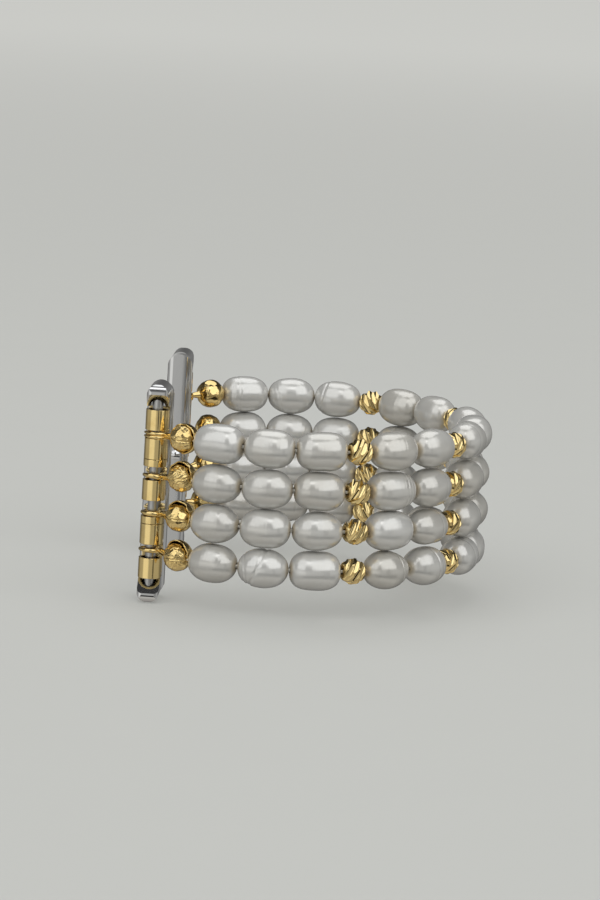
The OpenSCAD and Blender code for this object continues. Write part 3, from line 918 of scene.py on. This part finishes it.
# Each CAD piece gets its finish, by the start of its name

finishOf = {
    "connector": "polishedSteel", "lock_button": "polishedSteel", "spring_bar": "barSteel",
    "bar_pivot": "barSteel", "bar_spring": "springSteel", "lock_spring": "springSteel",
    "crimp_beads": "crimpMetal", "sleeve": "rolledGold", "collar": "rolledGold",
    "bead_tip": "hammeredGold", "pearl_row": "nacre", "spacer_row": "cutGold", "cord": "cord"}
for name, node in frame["nodes"].items():
    kind = next(k for k in finishOf if name.startswith(k))
    node.data.materials.clear()
    node.data.materials.append(finish[finishOf[kind]])
print("finishes laid on")


# Studio: a pale floor, two soft windows in front, a lamp above and a plain room. The floor has a
# glow that only the camera sees, which fades it into the wall and lights nothing

studio = {"floor": (0.30, 0.302, 0.29, 1), "farFloor": (0.02, 0.02, 0.02, 1),
          "speckle": (0.2, 0.2, 0.19, 1), "speckleSize": 60, "speckleShare": 0.06,
          "floorShown": (0.207, 0.209, 0.196, 1), "wall": (0.563, 0.566, 0.539, 1),
          "air": (0.468, 0.465, 0.452, 1), "floorRadius": 7, "floorAround": 96,
          "floorRoughness": 0.9, "fade": (0.2, 2.2), "underPart": 0.05 * mm}

lampColour = (0.97, 0.985, 1.0)
lampDistance = 2.0
lamps = {
    "windowLeft": {"power": 13.5, "size": (1.7, 2.2), "azimuth": -38, "elevation": 44},
    "windowRight": {"power": 23, "size": (2.4, 2.2), "azimuth": 46, "elevation": 44},
    "overhead": {"power": 11, "size": (1.6, 1.6), "azimuth": 180, "elevation": 70}}


def rayKinds(tree):
    # 1 for a ray from the camera, one off a shiny surface, and one through a clear one
    path = addNode(tree, "ShaderNodeLightPath", {}, {})
    return [path.output(k) for k in ("Is Camera Ray", "Is Glossy Ray", "Is Transmission Ray")]


def makeFloor():
    bm = bmesh.new()
    bmesh.ops.create_circle(bm, cap_ends=True, segments=studio["floorAround"],
                            radius=studio["floorRadius"])
    material, tree = newMaterial("paleFloor")
    place = objectPlace(tree)
    reach = addNode(tree, "ShaderNodeVectorMath", {"operation": "LENGTH"}, {0: place}, "Value")
    far = between(tree, reach, *studio["fade"])
    shown = mixColour(tree, far, studio["floorShown"], studio["wall"])
    dim = mixColour(tree, far, studio["floor"], studio["farFloor"])
    speckle = softNoise(tree, place, studio["speckleSize"]) * studio["speckleShare"]
    dim = mixColour(tree, speckle, dim, studio["speckle"])
    camera, glossy, through = rayKinds(tree)
    seenRays = addNode(tree, "ShaderNodeMath", {"operation": "MINIMUM"},
                       {0: camera + glossy + through, 1: 1.0})
    lit = addNode(tree, "ShaderNodeBsdfPrincipled", {},
                  {"Base Color": dim, "Roughness": studio["floorRoughness"]})
    glow = addNode(tree, "ShaderNodeEmission", {}, {"Color": shown, "Strength": seenRays})
    both = addNode(tree, "ShaderNodeAddShader", {}, {0: lit, 1: glow})
    addNode(tree, "ShaderNodeOutputMaterial", {}, {"Surface": both})
    floor = newPiece("floor", bm, material)
    floor.location.z = -studio["underPart"]
    floor.visible_glossy = False


def makeLamp(name, power, size, azimuth, elevation):
    lamp = bpy.data.lights.new(name, "AREA")
    lamp.energy = power
    lamp.color = lampColour
    lamp.shape = "RECTANGLE"
    lamp.size, lamp.size_y = size
    thing = bpy.data.objects.new(name, lamp)
    a, e = math.radians(azimuth), math.radians(elevation)
    back = Vector((math.sin(a) * math.cos(e), -math.cos(a) * math.cos(e), math.sin(e)))
    thing.location = back * lampDistance + Vector((0, 0, midZ))
    thing.rotation_euler = back.to_track_quat("Z", "Y").to_euler()
    bpy.context.scene.collection.objects.link(thing)


# What shiny surfaces see all round, from straight down to straight up: a pale table, a bright
# wall and a dim ceiling; in front is the table's dark edge, with a lamp's stand at the right and
# a bright panel at the left. The spans are parts of a direction's x, y or z
room = {"stops": [
            (0.0, (0.42, 0.40, 0.37, 1)), (0.15, (0.66, 0.64, 0.60, 1)),
            (0.23, (0.38, 0.37, 0.35, 1)), (0.42, (0.42, 0.42, 0.41, 1)),
            (0.50, (0.50, 0.50, 0.49, 1)), (0.62, (0.22, 0.22, 0.22, 1)),
            (0.85, (0.05, 0.05, 0.05, 1))],
        "front": (-0.3, 0.0), "level": (-0.35, -0.2, 0.15, 0.3),
        "stand": (0.50, 0.54, 0.68, 0.72), "standShade": 0.7,
        "panel": (-0.95, -0.8, -0.3, 0.0), "panelLight": 1.1,
        "edge": (-0.60, -0.52, -0.37, -0.30), "edgeFrom": (-0.5, -0.1), "edgeShade": 0.95,
        "behind": (0.1, 0.7), "behindShade": 0.6}


def makeWorld():
    world = bpy.data.worlds.new("studio")
    world.use_nodes = True
    tree = world.node_tree
    tree.nodes.clear()
    camera, glossy, through = rayKinds(tree)
    way = addNode(tree, "ShaderNodeTexCoord", {}, {}, "Generated")
    split = addNode(tree, "ShaderNodeSeparateXYZ", {}, {0: way})
    x, y, z = (split.output(k) for k in (0, 1, 2))
    ahead = 1 - between(tree, y, *room["front"])
    level = band(tree, z, *room["level"]) * ahead
    stand = band(tree, x, *room["stand"]) * level
    panel = band(tree, x, *room["panel"]) * level
    edge = band(tree, z, *room["edge"]) * between(tree, x, *room["edgeFrom"]) * ahead
    bright = 1 - between(tree, y, *room["behind"]) * room["behindShade"]
    bright = bright * (1 - stand * room["standShade"]) * (1 - edge * room["edgeShade"])
    tall = addNode(tree, "ShaderNodeValToRGB", {"stops": room["stops"]}, {"Fac": z * 0.5 + 0.5})
    reflected = addNode(tree, "ShaderNodeVectorMath", {"operation": "SCALE"},
                        {0: tall, "Scale": bright + panel * room["panelLight"]})
    colour = mixColour(tree, camera + through, studio["air"], studio["wall"])
    colour = mixColour(tree, glossy, colour, reflected)
    back = addNode(tree, "ShaderNodeBackground", {}, {"Color": colour, "Strength": 1.0})
    addNode(tree, "ShaderNodeOutputWorld", {}, {"Surface": back})
    bpy.context.scene.world = world


makeFloor()
makeWorld()
for name, lamp in lamps.items():
    makeLamp(name, **lamp)
print("studio made")
